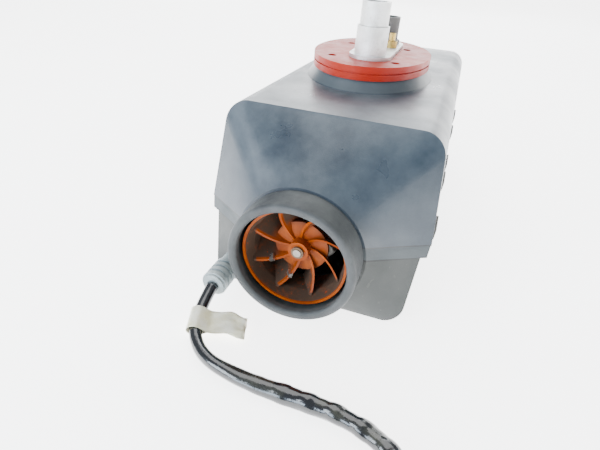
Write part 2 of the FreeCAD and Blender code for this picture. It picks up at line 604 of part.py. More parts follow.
place(turned("rear_bearing", bearing), "fan_x", CAP_FRONT + " - bearing_seat", "fan_z")
place(turned("rotor_magnet", ring_profile(MAGNET, "shaft_radius", "magnet_length")),
      "fan_x", MOTOR_FRONT + " + magnet_front", "fan_z")
stator_ring = ring_profile("motor_radius - motor_wall", "motor_radius - motor_wall - stator_back", "magnet_length")
place(turned("stator", stator_ring), "fan_x", MOTOR_FRONT + " + magnet_front", "fan_z")


def motor_windings():
    """Coils round the inside of the stator."""
    start = front + D.motor_front + D.magnet_front
    coils = []
    for index in range(int(D.winding_count)):
        turn = 2 * math.pi * index / D.winding_count
        coils.append(y_rod(D.winding_radius, start, D.magnet_length,
                           D.fan_x + winding_reach * math.cos(turn), D.fan_z + winding_reach * math.sin(turn)))
    return Part.makeCompound(coils)


shaped("motor_windings", motor_windings())
place(turned("motor_shaft", [("0", "0"), ("shaft_radius", "0"), ("shaft_radius", "shaft_back - shaft_front"),
                             ("0", "shaft_back - shaft_front")]), "fan_x", FRONT + " + shaft_front", "fan_z")
place(turned("impeller_nut", ring_profile("nut_radius", "shaft_radius", "nut_height")),
      "fan_x", FRONT + " + hub_front - nut_height", "fan_z")


# ---------------------------------------------------------------- hot-air impeller
def blade_line(share):
    """Radius, axial start, tangential run and sweep of the blade at a share of the way from the hub to the shroud."""
    inner, outer = D.hub_radius - 1, shroud_neck
    radius = inner + (outer - inner) * share
    entry = D.blade_root_front + (D.blade_tip_front - D.blade_root_front) * share ** 1.4
    turn = radius * math.tan(math.radians(D.blade_twist))
    return radius, front + entry, turn, D.blade_lean * (1 - share)


BLADE_BACK = front + D.impeller_front + D.impeller_depth


def blade_section(share):
    """Thin strip across the blade, swept about the axis."""
    radius, entry, turn, sweep = blade_line(share)
    half = D.blade_thickness / 2
    corners = ((-half, entry), (half, entry), (half - turn, BLADE_BACK), (-half - turn, BLADE_BACK))
    points = [Vector(radius, axial, tangent) for tangent, axial in corners]
    strip = Part.makePolygon(points + points[:1])
    strip.rotate(Vector(), Vector(0, 1, 0), -sweep)
    return strip


def blade():
    """Blade from the hub to the shroud: its leading edge sweeps forward from the hub and lags towards the tip."""
    return Part.makeLoft([blade_section(share) for share in (0, 0.35, 0.7, 1)], True, False)


def at_blade(shape, index):
    """The shape turned from the first blade's place to another blade's."""
    shape.rotate(Vector(), Vector(0, 1, 0), -(D.blade_phase + 360 / D.blade_count * index))
    return shape


def impeller():
    """Shrouded wheel: a flared ring outside, a hub disc and boss inside, blades between them."""
    start = front + D.impeller_front
    lip, neck, wall = shroud_lip, shroud_neck, D.shroud_wall
    outline = [(neck - wall, D.shroud_flare), (lip - wall, 0), (lip, 0), (neck, D.shroud_flare),
               (neck, D.impeller_depth), (neck - wall, D.impeller_depth)]
    points = [Vector(radius, start + along, 0) for radius, along in outline]
    shroud = Part.Face(Part.makePolygon(points + points[:1])).revolve(Vector(), Vector(0, 1, 0), 360)
    disc = Part.makeCylinder(D.hub_disc_radius, D.hub_disc, Vector(0, front + D.hub_disc_front, 0), Vector(0, 1, 0))
    hub_length = D.impeller_front + D.impeller_depth - D.hub_front
    hub = Part.makeCylinder(D.hub_radius, hub_length, Vector(0, front + D.hub_front, 0), Vector(0, 1, 0))
    limit = Part.makeCylinder(neck - wall / 2, D.overall_length, Vector(0, front, 0), Vector(0, 1, 0))
    trimmed = blade().common(limit)
    blades = [at_blade(trimmed.copy(), index) for index in range(int(D.blade_count))]
    bore = Part.makeCylinder(D.shaft_radius, D.overall_length, Vector(0, front, 0), Vector(0, 1, 0))
    wheel = shroud.fuse(blades + [disc, hub]).cut(bore)
    wheel.translate(Vector(D.fan_x, 0, D.fan_z))
    return wheel.removeSplitter()


impeller_shape = impeller()
shaped("hot_air_impeller", impeller_shape)


# ---------------------------------------------------------------- control unit
def unit_case():
    """Closed plastic case with four posts that carry the board."""
    x, y, z = D.unit_x, D.unit_y, D.unit_z
    corner_point = Vector(-x / 2, front + D.unit_front, D.unit_base)
    case = Part.makeBox(x, y, z, corner_point)
    wall = Vector(D.unit_wall, D.unit_wall, D.unit_wall)
    room = Part.makeBox(x - 2 * wall.x, y - 2 * wall.y, z - 2 * wall.z, corner_point + wall)
    posts = []
    for dx in (8, x - 8):
        for dy in (8, y - 8):
            foot = corner_point + Vector(dx, dy, D.unit_wall)
            posts.append(Part.makeCylinder(2.5, D.board_lift, foot))
    return case.cut(room).fuse(posts).removeSplitter()


def board_components():
    """Relays, capacitors and the connector block on the board."""
    base = D.unit_base + D.unit_wall + D.board_lift + D.board_sheet
    y = front + D.unit_front
    relays = [Part.makeBox(14, 11, 9, Vector(x, y + 8, base)) for x in (-38, -20)]
    cans = [Part.makeCylinder(4, 9, Vector(x, y + 34, base)) for x in (-30, -18, -6)]
    chips = [Part.makeBox(10, 10, 2, Vector(x, y + 9, base)) for x in (4, 22)]
    block_end = Part.makeBox(20, 14, 9, Vector(16, y + 26, base))
    return Part.makeCompound(relays + cans + chips + [block_end])


def unit_bracket():
    """Saddle between the blower housing and the control unit."""
    width, length = D.bracket_width, D.bracket_length
    y = cover_front + D.blower_cover + 1
    pad = Part.makeBox(width, length, D.unit_base - D.fan_z, Vector(D.fan_x - width / 2, y, D.fan_z))
    return pad.cut(y_rod(D.blower_radius, y - 1, length + 2, D.fan_x, D.fan_z))


shaped("control_unit_case", unit_case())
BOARD_Z = "unit_base + unit_wall + board_lift"
node(block("control_board", "unit_x - unit_wall * 4", "unit_y - unit_wall * 4", "board_sheet",
           "0 - unit_x / 2 + unit_wall * 2", FRONT + " + unit_front + unit_wall * 2", BOARD_Z), "control_board")
shaped("board_components", board_components())
shaped("unit_bracket", unit_bracket())


# ---------------------------------------------------------------- harness
def cable_route():
    """Points of the harness from its boot along the floor; the last one is where the coil begins."""
    rest = D.cable_diameter / 2 + 0.2
    start = front + D.boot_front
    return [Vector(*point) for point in (
        (D.boot_x, start, D.boot_z), (-53, start - 15, 9.5), (-48, start - 32, rest), (-33, start - 46, rest),
        (-8, start - 51, rest), (24, start - 51.5, rest), (52, start - 52.5, rest), (76, start - 61, rest),
        (92, start - 84, rest), (97, start - 114, rest), (98, start - 144, rest), (98, start - 172, rest))]


def rounded_route(points):
    """Straight runs joined by tangent arcs, with the smallest radius printed."""
    edges = []
    start = points[0]
    smallest = None
    for before, vertex, after in zip(points, points[1:], points[2:]):
        inward, outward = before - vertex, after - vertex
        run = min(inward.Length, outward.Length)
        half = inward.getAngle(outward) / 2
        reach = 0.45 * run
        radius = reach * math.tan(half)
        smallest = radius if smallest is None else min(smallest, radius)
        inward.normalize()
        outward.normalize()
        bisector = (inward + outward).normalize()
        middle = vertex + bisector * (radius / math.sin(half) - radius)
        first, last = vertex + inward * reach, vertex + outward * reach
        edges.append(Part.LineSegment(start, first).toShape())
        edges.append(Part.Arc(first, middle, last).toShape())
        start = last
    edges.append(Part.LineSegment(start, points[-1]).toShape())
    wire = Part.Wire(edges)
    print("cord radius, smallest %.1f mm; length %.1f mm" % (smallest, wire.Length))
    return wire


def tube(points, diameter):
    wire = rounded_route(points)
    heading = (points[1] - points[0]).normalize()
    profile = Part.Wire(Part.makeCircle(diameter / 2, points[0], heading))
    shape = wire.makePipeShell([profile], True, False)
    expected = math.pi * diameter ** 2 / 4 * wire.Length
    print("tube volume over section times length: %.4f" % (shape.Volume / expected))
    return shape


shaped("harness_cable", tube(cable_route(), D.cable_diameter))


def cable_boot():
    """Ribbed grommet where the harness leaves the cover; the part inside the cover is plain."""
    end = front + D.boot_front
    body = y_rod(D.boot_radius, end, D.boot_length, D.boot_x, D.boot_z)
    ribs = []
    for index in range(int(D.boot_ribs)):
        y = end + 1.5 + index * D.boot_pitch
        ribs.append(y_rod(D.boot_radius + D.boot_rib, y, D.boot_pitch * 0.55, D.boot_x, D.boot_z))
    return body.fuse(ribs).removeSplitter()


shaped("cable_boot", cable_boot())


def cable_tag():
    """Plain tape flag wrapped round the harness just after the boot."""
    points = cable_route()
    start, end = points[1], points[2]
    heading = (end - start).normalize()
    at = start + (end - start) * 0.3
    inner = D.cable_diameter / 2
    length = (end - start).Length * 0.3
    sleeve = Part.makeCylinder(inner + D.tag_sheet, length, at, heading)
    sleeve = sleeve.cut(Part.makeCylinder(inner, length, at, heading))
    flag = Part.makeBox(D.tag_reach, length, D.tag_sheet)
    across = heading.cross(Vector(0, 0, 1)).normalize()
    upward = across.cross(heading)
    frame = Matrix(across.x, heading.x, upward.x, 0, across.y, heading.y, upward.y, 0,
                   across.z, heading.z, upward.z, 0, 0, 0, 0, 1)
    side = 1 if across.x > 0 else -1
    flag.Placement = Placement(frame)
    flag.translate(at + across * (inner * side if side > 0 else -inner - D.tag_reach))
    flag = flag.cut(Part.makeCylinder(inner, length * 3, at - heading * length, heading))
    return sleeve.fuse(flag).removeSplitter()


shaped("cable_tag", cable_tag())


def coil_centre():
    last = cable_route()[-1]
    return Vector(last.x - D.coil_radius, last.y, last.z)


def harness_coil():
    """The end of the harness laid round in a neat loop on the floor."""
    centre = coil_centre()
    points = []
    for share in (0, 0.5, 1):
        turn = -math.radians(D.coil_sweep) * share
        points.append(centre + Vector(math.cos(turn), math.sin(turn), 0) * D.coil_radius)
    wire = Part.Wire(Part.Arc(*points).toShape())
    profile = Part.Wire(Part.makeCircle(D.cable_diameter / 2, points[0], Vector(0, -1, 0)))
    print("loop length %.1f mm" % wire.Length)
    return wire.makePipeShell([profile], True, False)


shaped("harness_coil", harness_coil())


def harness_plug():
    """Shrouded multi-pin connector at the end of the loop."""
    turn = -math.radians(D.coil_sweep)
    at = coil_centre() + Vector(math.cos(turn), math.sin(turn), 0) * D.coil_radius
    width, height, length, wall = D.plug_width, D.plug_height, D.plug_length, D.plug_wall
    body = Part.makeBox(length, width, height, Vector(0, -width / 2, 0))
    room = Part.makeBox(length * 0.4, width - 2 * wall, height - 2 * wall,
                        Vector(length * 0.6, wall - width / 2, wall))
    plug = body.cut(room)
    heading = math.degrees(turn) - 90
    plug.Placement = Placement(Vector(at.x, at.y, 0.2), Rotation(Vector(0, 0, 1), heading))
    return plug


shaped("harness_plug", harness_plug())


# ---------------------------------------------------------------- small fixings
def screw(x, y, z, direction):
    return Part.makeCylinder(D.screw_head, D.screw_height, Vector(x, y, z), direction)


def burner_screws():
    """Screw heads round the part of the burner head that stands clear of the blower."""
    heads = []
    for turn in (20, 55, 125, 160):
        reach = D.head_radius - 4.5
        x = D.exchanger_x + reach * math.cos(math.radians(turn))
        z = D.exchanger_z + reach * math.sin(math.radians(turn))
        heads.append(screw(x, head_front - D.screw_height, z, Vector(0, 1, 0)))
    return Part.makeCompound(heads)


def blower_screws():
    """Screw heads round the motor, on the blower cover."""
    heads = []
    for turn in (30, 150, 210, 330):
        reach = (D.motor_radius + D.blower_radius) / 2
        x = D.fan_x + reach * math.cos(math.radians(turn))
        z = D.fan_z + reach * math.sin(math.radians(turn))
        heads.append(screw(x, cover_front - D.screw_height, z, Vector(0, 1, 0)))
    return Part.makeCompound(heads)


CLIPPED_BLADES = (0, 1)
CLIP_SHARE = 0.6


def balance_clips():
    """Steel spring clips pushed over the leading edge of two blades to balance the wheel."""
    radius, entry, turn, sweep = blade_line(CLIP_SHARE)
    slant = math.degrees(math.atan2(turn, BLADE_BACK - entry))
    half = D.blade_thickness / 2 + D.clip_sheet
    clips = []
    for index in CLIPPED_BLADES:
        corner_point = Vector(radius - D.clip_width / 2, entry - D.clip_sheet, -half)
        clip = Part.makeBox(D.clip_width, D.clip_reach, 2 * half, corner_point)
        clip.rotate(Vector(radius, entry, 0), Vector(1, 0, 0), -slant)
        clip.rotate(Vector(), Vector(0, 1, 0), -sweep)
        clip = at_blade(clip, index)
        clip.translate(Vector(D.fan_x, 0, D.fan_z))
        clips.append(clip.cut(impeller_shape))
    return Part.makeCompound([solid for clip in clips for solid in clip.Solids if solid.Volume > 1])


shaped("burner_screws", burner_screws())
shaped("blower_screws", blower_screws())
shaped("balance_clips", balance_clips())


# ---------------------------------------------------------------- checks and export
doc.recompute()
for feature in doc.Objects:
    if "Invalid" in feature.State or "Error" in feature.State:
        raise RuntimeError("%s did not recompute: %s" % (feature.Label, feature.State))
for feature in NODES:
    if feature.Shape.isNull() or not feature.Shape.isValid() or not feature.Shape.Solids:
        raise RuntimeError("%s has no valid solid" % feature.Label)
os.makedirs("parts", exist_ok=True)
for feature in NODES:
    feature.Shape.exportStep("parts/%s.step" % feature.Label)
    box = feature.Shape.BoundBox
    print("%-20s %2d solid %9.0f mm3  x %.1f..%.1f  y %.1f..%.1f  z %.1f..%.1f" % (
        feature.Label, len(feature.Shape.Solids), feature.Shape.Volume,
        box.XMin, box.XMax, box.YMin, box.YMax, box.ZMin, box.ZMax))
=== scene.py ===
import math

import bpy
from mathutils import Matrix, Vector, noise


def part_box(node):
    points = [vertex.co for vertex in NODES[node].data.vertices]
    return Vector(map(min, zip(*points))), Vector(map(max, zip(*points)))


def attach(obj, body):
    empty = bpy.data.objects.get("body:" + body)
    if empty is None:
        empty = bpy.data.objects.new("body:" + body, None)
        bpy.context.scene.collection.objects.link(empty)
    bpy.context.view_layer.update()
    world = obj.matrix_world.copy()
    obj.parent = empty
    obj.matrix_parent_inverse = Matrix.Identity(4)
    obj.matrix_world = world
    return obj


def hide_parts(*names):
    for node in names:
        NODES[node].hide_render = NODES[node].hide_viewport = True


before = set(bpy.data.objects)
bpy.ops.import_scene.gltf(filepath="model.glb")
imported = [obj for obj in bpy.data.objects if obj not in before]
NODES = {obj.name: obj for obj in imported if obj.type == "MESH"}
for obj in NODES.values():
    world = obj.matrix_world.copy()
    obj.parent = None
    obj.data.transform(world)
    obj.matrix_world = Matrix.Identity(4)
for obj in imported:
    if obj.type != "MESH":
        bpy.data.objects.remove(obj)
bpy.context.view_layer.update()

MM = 0.001

# Named places in the row frame, in metres, from the CAD nodes.
upper_low, upper_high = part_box("upper_shell")
fan_low, fan_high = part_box("hot_air_impeller")
FAN = Vector(((fan_low[0] + fan_high[0]) / 2, fan_low[1], (fan_low[2] + fan_high[2]) / 2))


# ---------------------------------------------------------------- mesh helpers
def mesh_object(name, verts, faces):
    """A smooth-shaded mesh in the scene."""
    mesh = bpy.data.meshes.new(name)
    mesh.from_pydata([tuple(v) for v in verts], [], faces)
    mesh.update()
    obj = bpy.data.objects.new(name, mesh)
    bpy.context.collection.objects.link(obj)
    for polygon in mesh.polygons:
        polygon.use_smooth = True
    return obj


def bevel(obj, width):
    """Rounds the sharp edges of a piece."""
    modifier = obj.modifiers.new("edge", "BEVEL")
    modifier.width = width
    modifier.segments = 2
    modifier.limit_method = "ANGLE"
    modifier.angle_limit = math.radians(40)
    modifier.harden_normals = False


# ---------------------------------------------------------------- harness
# The same points as the CAD's harness, in millimetres: from the boot along the floor into one loop.
ROUTE = [(-52, -208, 17), (-53, -223, 9.5), (-48, -240, 5.2), (-33, -254, 5.2), (-8, -259, 5.2),
         (24, -259.5, 5.2), (52, -260.5, 5.2), (76, -269, 5.2), (92, -292, 5.2), (97, -322, 5.2),
         (98, -352, 5.2), (98, -380, 5.2)]
COIL_CENTRE = Vector((41, -380, 5.2)) * MM
COIL_RADIUS = 57 * MM
COIL_SWEEP = math.radians(272)
COIL_STEPS = 12
CORNER_REACH = COIL_RADIUS / math.cos(COIL_SWEEP / COIL_STEPS / 2)
route = [Vector(point) * MM for point in ROUTE]
for step in range(1, COIL_STEPS + 1):
    turn = -COIL_SWEEP * step / COIL_STEPS
    reach = CORNER_REACH if step < COIL_STEPS else COIL_RADIUS
    route.append(COIL_CENTRE + Vector((math.cos(turn), math.sin(turn), 0)) * reach)


def nurbs_path(points, resolution):
    """Points along the smooth line of a route, read from its NURBS spline."""
    data = bpy.data.curves.new("route", "CURVE")
    data.dimensions = "3D"
    spline = data.splines.new("NURBS")
    spline.points.add(len(points) - 1)
    for place, point in zip(spline.points, points):
        place.co = (*point, 1)
    spline.order_u = 3
    spline.use_endpoint_u = True
    spline.resolution_u = resolution
    line = bpy.data.objects.new("route", data)
    bpy.context.collection.objects.link(line)
    bpy.context.view_layer.update()
    mesh = bpy.data.meshes.new_from_object(line)
    path = [vertex.co.copy() for vertex in mesh.vertices]
    bpy.data.objects.remove(line)
    bpy.data.meshes.remove(mesh)
    return path


def tube_mesh(name, path, radius_at, steps=28):
    """A tube along a path whose radius follows the distance and the angle round it."""
    verts, faces = [], []
    up = Vector((0, 0, 1))
    travelled = 0.0
    for index, point in enumerate(path):
        before, after = path[max(index - 1, 0)], path[min(index + 1, len(path) - 1)]
        heading = (after - before).normalized()
        across = heading.cross(up).normalized()
        upward = across.cross(heading).normalized()
        travelled += (point - path[max(index - 1, 0)]).length
        for step in range(steps):
            turn = 2 * math.pi * step / steps
            radius = radius_at(travelled, turn)
            verts.append(point + across * radius * math.cos(turn) + upward * radius * math.sin(turn))
    for index in range(len(path) - 1):
        for step in range(steps):
            following = (step + 1) % steps
            faces.append((index * steps + step, index * steps + following,
                          (index + 1) * steps + following, (index + 1) * steps + step))
    faces.append(tuple(reversed(range(steps))))
    faces.append(tuple(range((len(path) - 1) * steps, len(path) * steps)))
    return mesh_object(name, verts, faces)


CABLE_RADIUS = 5 * MM
PATH_RESOLUTION = 20
TWIST_PITCH = 85 * MM
LUMP_PITCH = 15 * MM
KNOT_SCALE = 60
SLIM_END, SLIM_FADE = 45 * MM, 30 * MM
SWELL_START, SWELL_END = 75 * MM, 270 * MM
SWELL_RISE, SWELL_FALL = 50 * MM, 30 * MM
WIDEST, WIDEST_BELOW, WIDEST_IN_LOOP = 6.3 * MM, 5.1 * MM, 4.4 * MM
LOOP_START = 250 * MM


def fade(value, length):
    """Rises from 0 to 1 over a length."""
    return max(0.0, min(1.0, value / length))


def sleeve_radius(travelled, turn):
    """Twisted wires and their ties show through the sleeve; it is slimmer just after the boot and the tag."""
    rise = math.sin(turn)
    slim = 1 - fade(travelled - SLIM_END, SLIM_FADE)
    strands = math.cos(2 * turn + travelled * 2 * math.pi / TWIST_PITCH)
    lumps = max(0.0, math.cos(travelled * 2 * math.pi / LUMP_PITCH + 1.2 * math.cos(turn - 1.1))) ** 0.5
    knots = noise.noise(Vector((travelled * KNOT_SCALE, 1.5 * math.cos(turn), 1.5 * rise)))
    wrapped = fade(travelled - SWELL_START, SWELL_RISE) * fade(SWELL_END - travelled, SWELL_FALL)
    resting = 1 - 0.5 * (1 - rise) * wrapped
    shape = 0.91 + 0.055 * strands * (1 - 0.7 * slim) + 0.05 * knots
    shape += (0.13 + 0.16 * lumps) * wrapped * resting
    under = WIDEST_BELOW if rise < -0.5 else WIDEST
    beside = WIDEST_IN_LOOP if travelled > LOOP_START and abs(rise) < 0.8 else WIDEST
    return min(CABLE_RADIUS * (1 - 0.16 * slim) * shape, under, beside)


path = nurbs_path(route, PATH_RESOLUTION)
cable = tube_mesh("harness_sleeve", path, sleeve_radius)
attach(cable, "heater")
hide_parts("harness_cable", "harness_coil")


TAG_SLEEVE, TAG_REACH, TAG_LENGTH, TAG_GAP = 5.2 * MM, 25 * MM, 15 * MM, 0.5 * MM
TAG_ROWS = 15
TAG_THICKNESS = 0.25 * MM
TAG_LOWEST = 0.8 * MM


def tag_flag():
    """Tape folded over the harness: a sleeve round it and a creased double flag to its right."""
    start, end = route[1], route[2]
    heading = (end - start).normalized()
    across = heading.cross(Vector((0, 0, 1))).normalized()
    across = across if across.x > 0 else -across
    upward = across.cross(heading)
    upward = upward if upward.z > 0 else -upward
    at = (start + end) / 2 - heading * TAG_LENGTH / 2
    outline = []
    for step in range(13):
        turn = math.radians(35 + 290 * step / 12)
        outline.append((TAG_SLEEVE * math.cos(turn), TAG_SLEEVE * math.sin(turn)))
    reach = [TAG_SLEEVE + TAG_REACH * step / 10 for step in range(1, 11)]
    outline = [(r, TAG_GAP) for r in reversed(reach)] + outline + [(r, -TAG_GAP) for r in reach]
    verts, faces = [], []
    for row in range(TAG_ROWS):
        for out, rise in outline:
            share = max(0.0, (out - TAG_SLEEVE) / TAG_REACH)
            ripple = 1.5 * MM * share * noise.noise(Vector((out * 160, row * 0.34, 2.0)))
            droop = -2.6 * MM * share ** 1.5 + 1.1 * MM * share * math.sin(row * 0.9 + out * 420)
            station = TAG_LENGTH * row / (TAG_ROWS - 1) + 1.6 * MM * share * math.sin(out * 260)
            point = at + heading * station
            verts.append(point + across * out + upward * (rise + ripple + droop))
    wide = len(outline)
    for row in range(TAG_ROWS - 1):
        for corner in range(row * wide, row * wide + wide - 1):
            faces.append((corner, corner + 1, corner + wide + 1, corner + wide))
    flag = mesh_object("tag_film", verts, faces)
    for vertex in flag.data.vertices:
        vertex.co.z = max(vertex.co.z, TAG_LOWEST)
    thickness = flag.modifiers.new("thickness", "SOLIDIFY")
    thickness.thickness = TAG_THICKNESS
    return flag


tag = tag_flag()
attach(tag, "heater")
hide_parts("cable_tag")


# ---------------------------------------------------------------- camera
YAW, PITCH, ROLL = math.radians(17.0), math.radians(31.5), math.radians(4.5)
CAMERA_PLACE = Vector((62.6, -402.4, 201.6)) * MM
LENS, SENSOR_WIDTH = 26.44, 36
CLIP_START = 0.01
camera_data = bpy.data.cameras.new("camera")
camera_data.lens = LENS
camera_data.sensor_width = SENSOR_WIDTH
camera_data.clip_start = CLIP_START
camera = bpy.data.objects.new("camera", camera_data)
bpy.context.collection.objects.link(camera)
forward = Vector((-math.sin(YAW) * math.cos(PITCH), math.cos(YAW) * math.cos(PITCH), -math.sin(PITCH)))
level = Vector((math.cos(YAW), math.sin(YAW), 0))
down = forward.cross(level)
right = level * math.cos(ROLL) - down * math.sin(ROLL)
below = level * math.sin(ROLL) + down * math.cos(ROLL)
axes = Matrix((right, -below, -forward)).transposed()
camera.matrix_world = Matrix.Translation(CAMERA_PLACE) @ axes.to_4x4()
bpy.context.scene.camera = camera


# ---------------------------------------------------------------- materials
class Nodes:
    """Short names for building a shader."""

    def __init__(self, name):
        self.material = bpy.data.materials.new(name)
        self.material.use_nodes = True
        self.tree = self.material.node_tree
        self.shader = self.tree.nodes["Principled BSDF"]

    def add(self, kind, **sockets):
        node = self.tree.nodes.new("ShaderNode" + kind)
        for key, value in sockets.items():
            socket = node.inputs[key.replace("_", " ")]
            if hasattr(value, "node"):
                self.tree.links.new(value, socket)
            else:
                socket.default_value = value
        return node

    def link(self, output, socket):
        self.tree.links.new(output, socket)

    def coords(self):
        return self.tree.nodes.new("ShaderNodeTexCoord").outputs["Object"]

    def noise(self, scale, detail=4.0, stretch=None, turn=None, rough=0.55):
        vector = self.coords()
        if stretch is not None:
            mapping = self.add("Mapping", Vector=vector)
            mapping.inputs["Scale"].default_value = stretch
            if turn is not None:
                mapping.inputs["Rotation"].default_value = turn
            vector = mapping.outputs["Vector"]
        node = self.add("TexNoise", Vector=vector, Scale=scale, Detail=detail, Roughness=rough)
        return node.outputs["Fac"]

    def ramp(self, value, low, high, bottom=0.0, top=1.0):
        node = self.add("MapRange", Value=value)
        node.inputs["From Min"].default_value = low
        node.inputs["From Max"].default_value = high
        node.inputs["To Min"].default_value = bottom
        node.inputs["To Max"].default_value = top
        return node.outputs["Result"]

    def times(self, a, b):
        return self.math("MULTIPLY", a, b)

    def math(self, operation, a, b):
        node = self.tree.nodes.new("ShaderNodeMath")
        node.operation = operation
        for socket, value in zip(node.inputs, (a, b)):
            if hasattr(value, "node"):
                self.link(value, socket)
            else:
                socket.default_value = value
        return node.outputs["Value"]

    def mix(self, factor, a, b):
        node = self.tree.nodes.new("ShaderNodeMix")
        node.data_type = "RGBA"
        for socket, value in ((node.inputs["Factor"], factor), (node.inputs["A"], a), (node.inputs["B"], b)):
            if node.inputs["A"] == socket or node.inputs["B"] == socket:
                socket = [s for s in node.inputs if s.name == socket.name and s.type == "RGBA"][0]
            if hasattr(value, "node"):
                self.link(value, socket)
            else:
                socket.default_value = (*value, 1.0) if isinstance(value, tuple) else value
        return [s for s in node.outputs if s.type == "RGBA"][0]

    def upward(self):
        geometry = self.tree.nodes.new("ShaderNodeNewGeometry")
        split = self.add("SeparateXYZ", Vector=geometry.outputs["Normal"])
        return split.outputs["Z"]


# Painted shade: near-black drawn in thin lines along the seams, standing in for their shadow.
SEAM_SHADE_TONE = (0.006, 0.007, 0.008)


def surface(name, base, worn, rough=0.5, metal=0.0, blotch=14.0, grain=900.0, bump=0.2, depth=0.0002,
            dust=None, dust_and_sheen_amount=0.0, scratches=0.0, scratch_tone=(0.5, 0.5, 0.5), coat=0.0,
            specular=0.5, above=None, seam_shade_heights=()):
    """Worn, dusty, finely grained surface: blotches of two tones, scratches, a pale film on upward faces
    (dust, and on the casing top and the seal also a painted highlight), a fine bump.

    above is (height, colour, amount) for the stretch over a height that looks different; on the casing top
    that is a painted highlight, the glare on its top face.
    The heights in the last argument get thin dark lines: painted shade, the shadow along the seams.
    """
    n = Nodes(name)
    blotches = n.ramp(n.noise(blotch, 6.0), 0.36, 0.68)
    colour = n.mix(blotches, base, worn)
    fine = n.noise(grain, 3.0)
    colour = n.mix(n.ramp(fine, 0.3, 0.75, 0.0, 0.22), colour, worn)
    roughness = n.ramp(n.noise(blotch * 3, 5.0), 0.3, 0.7, max(rough - 0.09, 0.03), min(rough + 0.12, 1.0))
    if scratches:
        streaks = n.noise(60.0, 2.0, stretch=(1.0, 14.0, 3.0), turn=(0.3, 0.2, 0.9))
        streaks = n.times(n.ramp(streaks, 0.66, 0.72), scratches)
        crossing = n.noise(55.0, 2.0, stretch=(16.0, 1.0, 5.0), turn=(0.8, 0.1, 0.4))
        crossing = n.times(n.ramp(crossing, 0.68, 0.74), scratches)
        colour = n.mix(streaks, colour, scratch_tone)
        colour = n.mix(crossing, colour, scratch_tone)
    # Pale film on upward faces: settled dust, and on the casing top and the seal also a painted highlight.
    if dust is not None:
        faces_up = n.ramp(n.upward(), 0.05, 0.9, 0.25, 1.0)
        cloud = n.ramp(n.noise(26.0, 8.0, rough=0.65), 0.32, 0.7)
        film = n.times(n.times(faces_up, cloud), dust_and_sheen_amount)
        colour = n.mix(film, colour, dust)
    height = n.add("SeparateXYZ", Vector=n.coords()).outputs["Z"]
    if above is not None:
        level, tone, amount = above
        colour = n.mix(n.ramp(height, level - 0.2 * MM, level + 0.2 * MM, 0.0, amount), colour, tone)
    # Painted shade: a dark line at each seam height.
    for level in seam_shade_heights:
        near = n.math("ABSOLUTE", n.math("SUBTRACT", height, level), 0.0)
        colour = n.mix(n.ramp(near, 0.35 * MM, 1.0 * MM, 0.85, 0.0), colour, SEAM_SHADE_TONE)
    n.link(colour, n.shader.inputs["Base Color"])
    n.link(roughness, n.shader.inputs["Roughness"])
    n.shader.inputs["Metallic"].default_value = metal
    n.shader.inputs["Specular IOR Level"].default_value = specular
    n.shader.inputs["Coat Weight"].default_value = coat
    relief = n.add("Bump", Height=fine, Strength=bump, Distance=depth)
    n.link(relief.outputs["Normal"], n.shader.inputs["Normal"])
    return n.material


# Pale blue-grey film for the casing top: partly dust, partly a painted sheen, the glare on the top and hood.
GREY_DUST_AND_SHEEN = (0.17, 0.205, 0.23)
SEAM_Z = upper_low[2]
BAND_Z = SEAM_Z - 8 * MM
# Height above which the casing top gets a painted highlight.
CROWN_Z = upper_high[2] - 8 * MM
casing_top = surface(
    "casing_black", (0.01, 0.02, 0.034), (0.018, 0.031, 0.046), rough=0.34, blotch=8, grain=1500,
    bump=0.3, dust=GREY_DUST_AND_SHEEN, dust_and_sheen_amount=0.5, specular=0.7,
    # Painted highlight: the paler blue-grey above the crown height is the glare on the top face; the dark
    # line at the seam height is painted shade.
    above=(CROWN_Z + 0.6 * MM, (0.085, 0.105, 0.118), 0.6), seam_shade_heights=(SEAM_Z,))
# Lower shell: the dark line just below the band is painted shade, the shadow under the band's step.
casing_low_mat = surface(
    "casing_cover", (0.013, 0.017, 0.018), (0.028, 0.033, 0.031), rough=0.48, blotch=16, grain=1400,
    bump=0.3, dust=(0.12, 0.13, 0.11), dust_and_sheen_amount=0.4, scratches=0.1, scratch_tone=(0.2, 0.2, 0.17),
    above=(BAND_Z, (0.052, 0.066, 0.074), 0.8), seam_shade_heights=(BAND_Z - 0.4 * MM,))
collar_mat = surface(
    "collar_rubber", (0.02, 0.023, 0.027), (0.04, 0.045, 0.047), rough=0.58, blotch=30, grain=1100,
    bump=0.4, dust=(0.17, 0.185, 0.18), dust_and_sheen_amount=0.55, scratches=0.12,
    scratch_tone=(0.17, 0.18, 0.17))
# Seal: the pale film on its upward faces is partly dust and partly a painted highlight, the glare on its top
# face.
seal_mat = surface(
    "seal_silicone", (0.36, 0.006, 0.0), (0.4, 0.012, 0.0), rough=0.42, blotch=35, grain=1500,
    bump=0.25, dust=(0.62, 0.2, 0.09), dust_and_sheen_amount=0.28, specular=0.2)
cast_mat = surface(
    "cast_aluminium", (0.86, 0.87, 0.87), (0.66, 0.66, 0.64), rough=0.42, metal=0.65, blotch=70,
    grain=1300, bump=0.8, depth=0.0004, scratches=0.35, scratch_tone=(0.2, 0.19, 0.17))
steel_mat = surface(
    "stained_steel", (0.42, 0.4, 0.38), (0.22, 0.17, 0.13), rough=0.38, metal=0.95, blotch=40,
    grain=1600, bump=0.25, scratches=0.3, scratch_tone=(0.6, 0.58, 0.55))
nut_mat = surface(
    "dull_nut", (0.15, 0.1, 0.06), (0.09, 0.05, 0.03), rough=0.5, metal=0.5, blotch=200, grain=1700)
